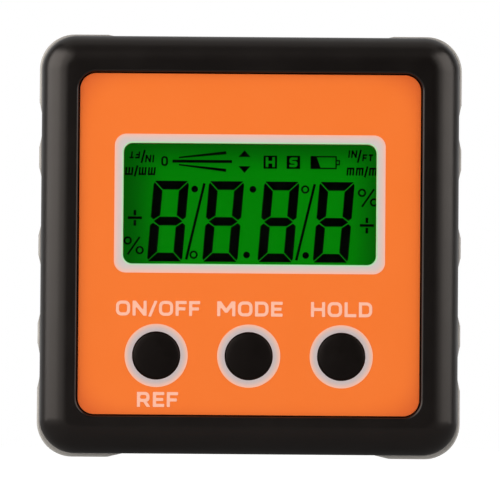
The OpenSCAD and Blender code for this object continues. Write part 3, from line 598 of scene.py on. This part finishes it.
def ringShare(tree, spot, look):  # share of the outer tint
    reach = vectorLength(tree, objectPoint(tree, (1, 0, 1), (-spot.x * mm, 0, -spot.z * mm)))
    share = remap(tree, reach, look["inner"] / 2 * mm, look["outer"] / 2 * mm, 0.0, 1.0)
    return combine(tree, "POWER", share, look["fade"])


borderPrint = {"width": 38.12, "height": 19.56, "radius": 1.65,
               "windowW": 35.6, "windowH": 17.0, "windowR": 1.3,
               "tints": ((207, 197, 195), (211, 201, 199)), "outerTint": (251, 189, 166), "fade": 2.5,
               "innerTint": (160, 234, 172), "glow": 0.3,  # the window's light on the inner edge
               "spot": 3.0, "rough": (0.36, 0.42), "grain": (0.1, 0.001), "settings": softGloss}
displayMiddle = (0.0, sum(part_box("display_lens")[i].z for i in (0, 1)) / (2 * mm))
outer, window = [
    box(-w / 2, -h / 2, w / 2, h / 2, r) for w, h, r in (
        (borderPrint["width"], borderPrint["height"], borderPrint["radius"]),
        (borderPrint["windowW"], borderPrint["windowH"], borderPrint["windowR"]))]
piece = flatPiece("displayBorder", [outer, window], printing["thickness"], labelFace, displayMiddle)
borderFinish = speckledFinish("border", borderPrint)
outerShare, innerShare = borderShares(borderFinish.node_tree, displayMiddle[1], borderPrint)
tintEdge(borderFinish, outerShare, borderPrint["outerTint"])
tintEdge(borderFinish, innerShare, borderPrint["innerTint"])
fit(piece, "case", "orange_label", borderFinish)

ringPrint = {"outer": 8.88, "inner": 6.8, "pieces": ("onOffRing", "modeRing", "holdRing"),
             "tints": ((194, 183, 185), (200, 189, 191)), "outerTint": (252, 191, 162), "fade": 2.1,
             "spot": 3.0, "rough": (0.36, 0.42), "grain": (0.1, 0.001), "settings": softGloss}
buttonNodes = ("on_off_button", "mode_button", "hold_button")
buttonSpots = [sum(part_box(node), Vector()) / (2 * mm) for node in buttonNodes]
loops = [disc(0, 0, ringPrint["outer"] / 2), disc(0, 0, ringPrint["inner"] / 2)]
firstSpot = buttonSpots[0]
ringMiddle = (firstSpot.x, firstSpot.z)
firstRing = flatPiece(ringPrint["pieces"][0], loops, printing["thickness"], labelFace, ringMiddle)
rings = [firstRing]
for pieceName, spot in zip(ringPrint["pieces"][1:], buttonSpots[1:]):
    rings.append(copyAcross(firstRing, pieceName, spot.x - firstSpot.x))
for piece, spot in zip(rings, buttonSpots):
    ringFinish = speckledFinish(piece.name, ringPrint)
    tintEdge(ringFinish, ringShare(ringFinish.node_tree, spot, ringPrint), ringPrint["outerTint"])
    fit(piece, "case", "orange_label", ringFinish)
print("border and rings printed")


# Display marks on the front glass, in mm from the middle of the window

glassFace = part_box("lcd_panel")[0].y / mm
digit = {"first": -11.53, "pitch": 7.793, "count": 4, "up": -2.405, "lean": 0.08,
         "halfW": 2.486, "halfH": 5.695, "bar": 1.235, "post": 1.333, "gap": 0.12,
         "shoulder": 0.5, "nip": 0.14, "elbow": 0.7, "tip": 0.42, "tipUp": 0.1, "heel": 0.45,  # of an upright
         "middleFrom": 0.44, "middleFull": 1.26}
marks = {"thickness": 0.02, "line": 0.37, "thin": 0.26, "ringOut": 0.59, "ringIn": 0.33, "dot": 0.48}


def digitLoops(d):
    w, h, t, p, g = d["halfW"], d["halfH"], d["bar"], d["post"], d["gap"]
    top = [(-w + g, h, 0.05), (w - g, h, 0.05), (w - g - t, h - t, 0), (-w + g + t, h - t, 0)]
    post = [(-w, h - d["shoulder"], 0.2), (-w + d["nip"], h - d["nip"] - g / 2, 0.05),
            (-w + p, h - p - g / 2, 0), (-w + p, d["elbow"] + g, 0),
            (-w + d["tip"], d["tipUp"] + g, 0.05), (-w, d["heel"] + g, 0.1)]
    full = d["middleFull"]
    half = [(-w + d["middleFrom"], 0, 0), (-w + full, t / 2, 0), (w - full, t / 2, 0)]
    middle = half + [(-x, -z, r) for x, z, r in half]
    loops = [middle]
    for up in (1, -1):
        loops.append([(x, up * z, r) for x, z, r in top])
        loops += [[(side * x, up * z, r) for x, z, r in post] for side in (1, -1)]
    return [moved(loop, lean=d["lean"]) for loop in loops]


firstMiddle = (displayMiddle[0] + digit["first"], displayMiddle[1] + digit["up"])
firstDigit = flatPiece("lcdDigit1", digitLoops(digit), marks["thickness"], glassFace, firstMiddle)
digits = [firstDigit]
for number in range(1, digit["count"]):
    digits.append(copyAcross(firstDigit, f"lcdDigit{number + 1}", number * digit["pitch"]))
for piece in digits:
    fit(piece, "case", "lcd_glass", finishes["segment"])


def ring(x, z):
    return [disc(x, z, marks["ringOut"]), disc(x, z, marks["ringIn"])]


percentMark = {"across": 0.85, "up": 0.67, "slashLow": 1.3, "slashHigh": 1.2}


def percent(x, z):
    across, up = percentMark["across"], percentMark["up"]
    foot, top = z - percentMark["slashLow"], z + percentMark["slashHigh"]
    slash = bar(x - across, foot, x + across, top, marks["thin"])
    return ring(x - across, z + up) + ring(x + across, z - up) + [slash]


signMark = {"half": 1.0, "width": 0.38, "stem": 0.38, "stemFrom": 0.33, "stemUp": 1.1, "stemDown": 1.13}


def plusMinus(x, z):  # a bar with a short stem above and below
    half, stem, start = signMark["half"], signMark["stem"], signMark["stemFrom"]
    return [bar(x - half, z, x + half, z, signMark["width"]),
            bar(x, z + start, x, z + signMark["stemUp"], stem),
            bar(x, z - start, x, z - signMark["stemDown"], stem)]


unitPrint = {"stroke": 0.24, "gap": 0.24, "lean": 0.1}


def unitWords(parts, slash, centre, turn):  # upright at the right, half a turn round at the left
    loops = [bar(*slash, marks["thin"])]
    lean = unitPrint["lean"]
    for word, left, right, low, high in parts:
        length, shapes = wordLoops(word, unitPrint["stroke"], unitPrint["gap"])
        squeeze = (right - left) / length
        for shape in shapes:
            loops.append([(left + x * squeeze + lean * z, low + z * high, r) for x, z, r in shape])
    return [moved(loop, centre[0], centre[1], turn=turn) for loop in loops]


# each unit is its words, as letters, left, right, foot and height, and the ends of the slash between them
feet = [("IN", -1.82, -0.6, -0.26, 1.07), ("FT", 0.16, 1.62, -0.72, 0.98)], (-0.46, -0.94, 0.0, 0.9)
metres = [("mm", -2.25, 0.1, -0.56, 1.13), ("m", 0.9, 2.02, -0.56, 1.13)], (0.34, -0.8, 0.74, 0.75)

topMarks = {
    "level": 6.07, "low": 5.1, "high": 6.95,
    "zero": (-12.55, -11.6, 0.7, 0.44),  # left, right, half height, radius
    "zeroHole": (-12.28, -11.87, 0.44, 0.2),
    "line": (-10.97, -2.56, 0.42),  # left, right, width
    "ray": (-10.06, -3.38, 0.2, 0.44),  # left, right, width at either end
    "rayRises": ((0.52, 1.25), (-0.5, -1.25)),
    "arrow": {"middle": -0.8, "half": 0.86, "upFrom": 0.66, "upTo": 1.62, "downFrom": 0.64, "downTo": 1.6},
    "flags": (("H", 1.88), ("S", 5.14)), "flagWidth": 1.92, "letterFoot": 5.33, "letter": 1.4, "stroke": 0.26,
    "battery": {"left": 8.51, "right": 12.22, "nub": 12.68, "nubLow": 5.64, "nubHigh": 6.4, "line": 0.2,
                "emptyFoot": 9.94, "emptyTop": 9.42, "nubHole": (5.84, 12.48, 6.2)},
}


def levelBox(left, right, half, radius, level):
    return box(left, level - half, right, level + half, radius)


def arrowPair(arrow, level):  # one points up, one down
    left, middle, right = arrow["middle"] - arrow["half"], arrow["middle"], arrow["middle"] + arrow["half"]
    upFoot, downFoot = level + arrow["upFrom"], level - arrow["downFrom"]
    return [[(left, upFoot, 0), (middle, level + arrow["upTo"], 0), (right, upFoot, 0)],
            [(left, downFoot, 0), (right, downFoot, 0), (middle, level - arrow["downTo"], 0)]]


def batteryMark(cell, low, high):  # part full
    left, right, nub = cell["left"], cell["right"], cell["nub"]
    nubLow, nubHigh = cell["nubLow"], cell["nubHigh"]
    outline = [(left, low, 0), (left, high, 0), (right, high, 0), (right, nubHigh, 0), (nub, nubHigh, 0),
               (nub, nubLow, 0), (right, nubLow, 0), (right, low, 0)]
    foot, top, inside = low + cell["line"], high - cell["line"], right - cell["line"]
    empty = [(cell["emptyFoot"], foot, 0), (cell["emptyTop"], top, 0), (inside, top, 0), (inside, foot, 0)]
    return [outline, empty, box(right, *cell["nubHole"])]


def topRow(t):
    level, low, high = t["level"], t["low"], t["high"]
    loops = [levelBox(*t["zero"], level), levelBox(*t["zeroHole"], level)]
    left, right, width = t["line"]
    loops.append(bar(left, level, right, level, width))
    left, right, startWidth, endWidth = t["ray"]
    for start, end in t["rayRises"]:
        loops.append(bar(left, level + start, right, level + end, startWidth, endWidth))
    loops += arrowPair(t["arrow"], level)
    for letter, left in t["flags"]:
        width, shapes = letterLoops(letter, t["stroke"])
        loops.append(box(left, low, left + t["flagWidth"], high))
        letterLeft = left + t["flagWidth"] / 2 - width * t["letter"] / 2
        loops += [moved(shape, letterLeft, t["letterFoot"], t["letter"]) for shape in shapes]
    return loops + batteryMark(t["battery"], low, high)


reading = {"dots": ((-7.8, 2.15), (0.42, 2.17), (-0.41, -7.1), (7.93, -7.1)),
           "degrees": ((-7.88, -7.13), (7.79, 2.2)),
           "slashes": ((-8.93, -6.43), (6.6, 9.14)), "slashFoot": -7.8, "slashTop": 2.97,
           "signs": ((-16.2, -1.96), (16.52, -2.81)), "percents": ((-16.34, -5.86), (16.66, 1.12))}


def readingMarks(r):
    loops = [disc(x, z, marks["dot"]) for x, z in r["dots"]]
    for spot in r["degrees"]:
        loops += ring(*spot)
    for foot, top in r["slashes"]:
        loops.append(bar(foot, r["slashFoot"], top, r["slashTop"], marks["line"]))
    for spot in r["signs"]:
        loops += plusMinus(*spot)
    for spot in r["percents"]:
        loops += percent(*spot)
    return loops


displayMarks = {
    "lcdTopRow": topRow(topMarks),
    "lcdReadingMarks": readingMarks(reading),
    "lcdFeetRight": unitWords(*feet, (15.63, 6.98), 1),
    "lcdMetresRight": unitWords(*metres, (15.83, 4.78), 1),
    "lcdFeetLeft": unitWords(*feet, (15.34, -6.68), -1),
    "lcdMetresLeft": unitWords(*metres, (15.55, -4.63), -1),
}
for pieceName, loops in displayMarks.items():
    piece = flatPiece(pieceName, loops, marks["thickness"], glassFace, displayMiddle)
    fit(piece, "case", "lcd_glass", finishes["segment"])
print("display marks drawn")


# Camera, floor and light

view = {"distance": 0.75, "frameWidth": 0.0703, "aimAcross": 0.00006, "aimUp": 0.03042, "nearest": 0.01,  # m
        "elevation": -2.2, "roll": 0.44, "sensor": 36.0}  # degrees, and the sensor in mm
eye = bpy.data.cameras.new("view")
eye.sensor_width = view["sensor"]
eye.lens = eye.sensor_width * view["distance"] / view["frameWidth"]
eye.clip_start = view["nearest"]
camera = bpy.data.objects.new("view", eye)
bpy.context.scene.collection.objects.link(camera)
rise = math.radians(view["elevation"])
aim = Vector((view["aimAcross"], labelFace * mm, view["aimUp"]))
stand = aim + view["distance"] * Vector((0, -math.cos(rise), math.sin(rise)))
camera.matrix_world = (Matrix.Translation(stand) @ Matrix.Rotation(math.pi / 2 - rise, 4, "X")
                       @ Matrix.Rotation(math.radians(view["roll"]), 4, "Z"))
bpy.context.scene.camera = camera


def lightPathShare(tree, *kinds):  # 1 for rays of these kinds
    path = tree.nodes.new("ShaderNodeLightPath")
    share = path.outputs[kinds[0]]
    for kind in kinds[1:]:
        share = combine(tree, "MAXIMUM", share, path.outputs[kind])
    return share


def paleFloor(look):
    finish = bpy.data.materials.new("paleFloor")
    finish.use_nodes = True
    tree = finish.node_tree
    tree.nodes.remove(tree.nodes["Principled BSDF"])
    plain = tree.nodes.new("ShaderNodeBsdfDiffuse")
    plain.inputs["Color"].default_value = look["plain"]
    seen = tree.nodes.new("ShaderNodeAddShader")
    shine = tree.nodes.new("ShaderNodeEmission")
    shade = tree.nodes.new("ShaderNodeBsdfDiffuse")
    shade.inputs["Color"].default_value = look["shade"]
    split = tree.nodes.new("ShaderNodeSeparateXYZ")
    tree.links.new(objectPoint(tree), split.inputs["Vector"])
    back = split.outputs["Y"]
    near = remap(tree, back, look["darkTo"], look["nearFrom"], look["dark"], look["near"], smooth=True)
    behind = remap(tree, back, look["nearFrom"], look["whiteFrom"], 0.0, look["glow"], smooth=True)
    mirrored = combine(tree, "MAXIMUM", near, behind)
    glossy = combine(tree, "MULTIPLY", lightPathShare(tree, "Is Glossy Ray"), mirrored)
    reach = vectorLength(tree, objectPoint(tree))
    clear = remap(tree, reach, look["shadowTo"], look["clearFrom"], look["glow"], 1.0, smooth=True)
    direct = combine(tree, "MULTIPLY", lightPathShare(tree, "Is Camera Ray", "Is Transmission Ray"), clear)
    tree.links.new(combine(tree, "MAXIMUM", glossy, direct), shine.inputs["Strength"])
    tree.links.new(shine.outputs[0], seen.inputs[0])
    tree.links.new(shade.outputs[0], seen.inputs[1])
    mix = tree.nodes.new("ShaderNodeMixShader")
    share = lightPathShare(tree, "Is Camera Ray", "Is Glossy Ray", "Is Transmission Ray")
    tree.links.new(share, mix.inputs[0])
    tree.links.new(plain.outputs[0], mix.inputs[1])
    tree.links.new(seen.outputs[0], mix.inputs[2])
    tree.links.new(mix.outputs[0], tree.nodes["Material Output"].inputs["Surface"])
    return finish


floorLook = {"size": 6.0, "glow": 0.9, "plain": (0.8, 0.8, 0.8, 1), "shade": (0.2, 0.2, 0.2, 1),
             "dark": 0.0, "near": 0.08, "darkTo": -0.4, "nearFrom": -0.06, "whiteFrom": 0.5,
             "shadowTo": 0.08, "clearFrom": 0.3}
bpy.ops.object.select_all(action="DESELECT")
bpy.ops.mesh.primitive_plane_add(size=floorLook["size"], location=(0, 0, 0))
floor = bpy.context.view_layer.objects.active
floor.name = "floor"
floor.data.materials.append(paleFloor(floorLook))
floor.visible_diffuse = floor.visible_shadow = False  # lit from below, it lets that light through
floor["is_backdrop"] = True

studio = {"above": 0.04, "below": 0.5, "horizon": 0.2, "front": 0.0, "back": 0.55, "from": 0.3, "to": 1.0}
world = bpy.data.worlds.new("studio")
world.use_nodes = True
bpy.context.scene.world = world
tree = world.node_tree
direction = tree.nodes.new("ShaderNodeTexCoord")
split = tree.nodes.new("ShaderNodeSeparateXYZ")
tree.links.new(direction.outputs["Generated"], split.inputs["Vector"])
back, up = split.outputs["Y"], split.outputs["Z"]
mirrored = remap(tree, back, studio["from"], studio["to"], studio["front"], studio["back"], smooth=True)
glossyShare = lightPathShare(tree, "Is Glossy Ray", "Is Transmission Ray")
cameraShare = lightPathShare(tree, "Is Camera Ray")
tent = remap(tree, up, -studio["horizon"], studio["horizon"], studio["below"], studio["above"], smooth=True)
level = blendColours(tree, glossyShare, tent, mirrored)
level = blendColours(tree, cameraShare, level, (1.0, 1.0, 1.0, 1.0))
tree.links.new(level, tree.nodes["Background"].inputs["Color"])

lampTint = (1.0, 0.96, 0.92)
lampAim = Vector((0, 0, 0.03))  # the middle of the part
lamps = {  # bearing from the front and height in degrees, distance, width and height in metres, brightness
    "leftBox": {"bearing": -72, "height": 12, "distance": 0.7, "size": (0.84, 1.1), "brightness": 1.44},
    "leftWash": {"bearing": -59, "height": 12, "distance": 0.7, "size": (1.28, 1.1), "brightness": 1.28},
    "rightBox": {"bearing": 74, "height": 12, "distance": 0.7, "size": (0.65, 1.1), "brightness": 1.25},
    "rightWash": {"bearing": 66, "height": 12, "distance": 0.7, "size": (0.95, 1.1), "brightness": 0.95},
    "topBox": {"bearing": 180, "height": 75, "distance": 0.7, "size": (0.8, 0.6), "brightness": 0.4},
    "topWash": {"bearing": 0, "height": 63, "distance": 0.7, "size": (1.0, 0.6), "brightness": 0.15},
}
for name, look in lamps.items():
    lamp = bpy.data.lights.new(name, "AREA")
    lamp.shape = "RECTANGLE"
    lamp.size, lamp.size_y = look["size"]
    lamp.color = lampTint
    lamp.energy = look["brightness"] * math.pi * lamp.size * lamp.size_y
    holder = bpy.data.objects.new(name, lamp)
    bpy.context.scene.collection.objects.link(holder)
    turn, tilt = math.radians(look["bearing"]), math.radians(look["height"])
    away = Vector((math.sin(turn) * math.cos(tilt), -math.cos(turn) * math.cos(tilt), math.sin(tilt)))
    holder.location = lampAim + away * look["distance"]
    holder.rotation_euler = away.to_track_quat("Z", "Y").to_euler()
bpy.context.scene.view_settings.view_transform = "Standard"
print("camera, floor and light set")

low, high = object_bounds()
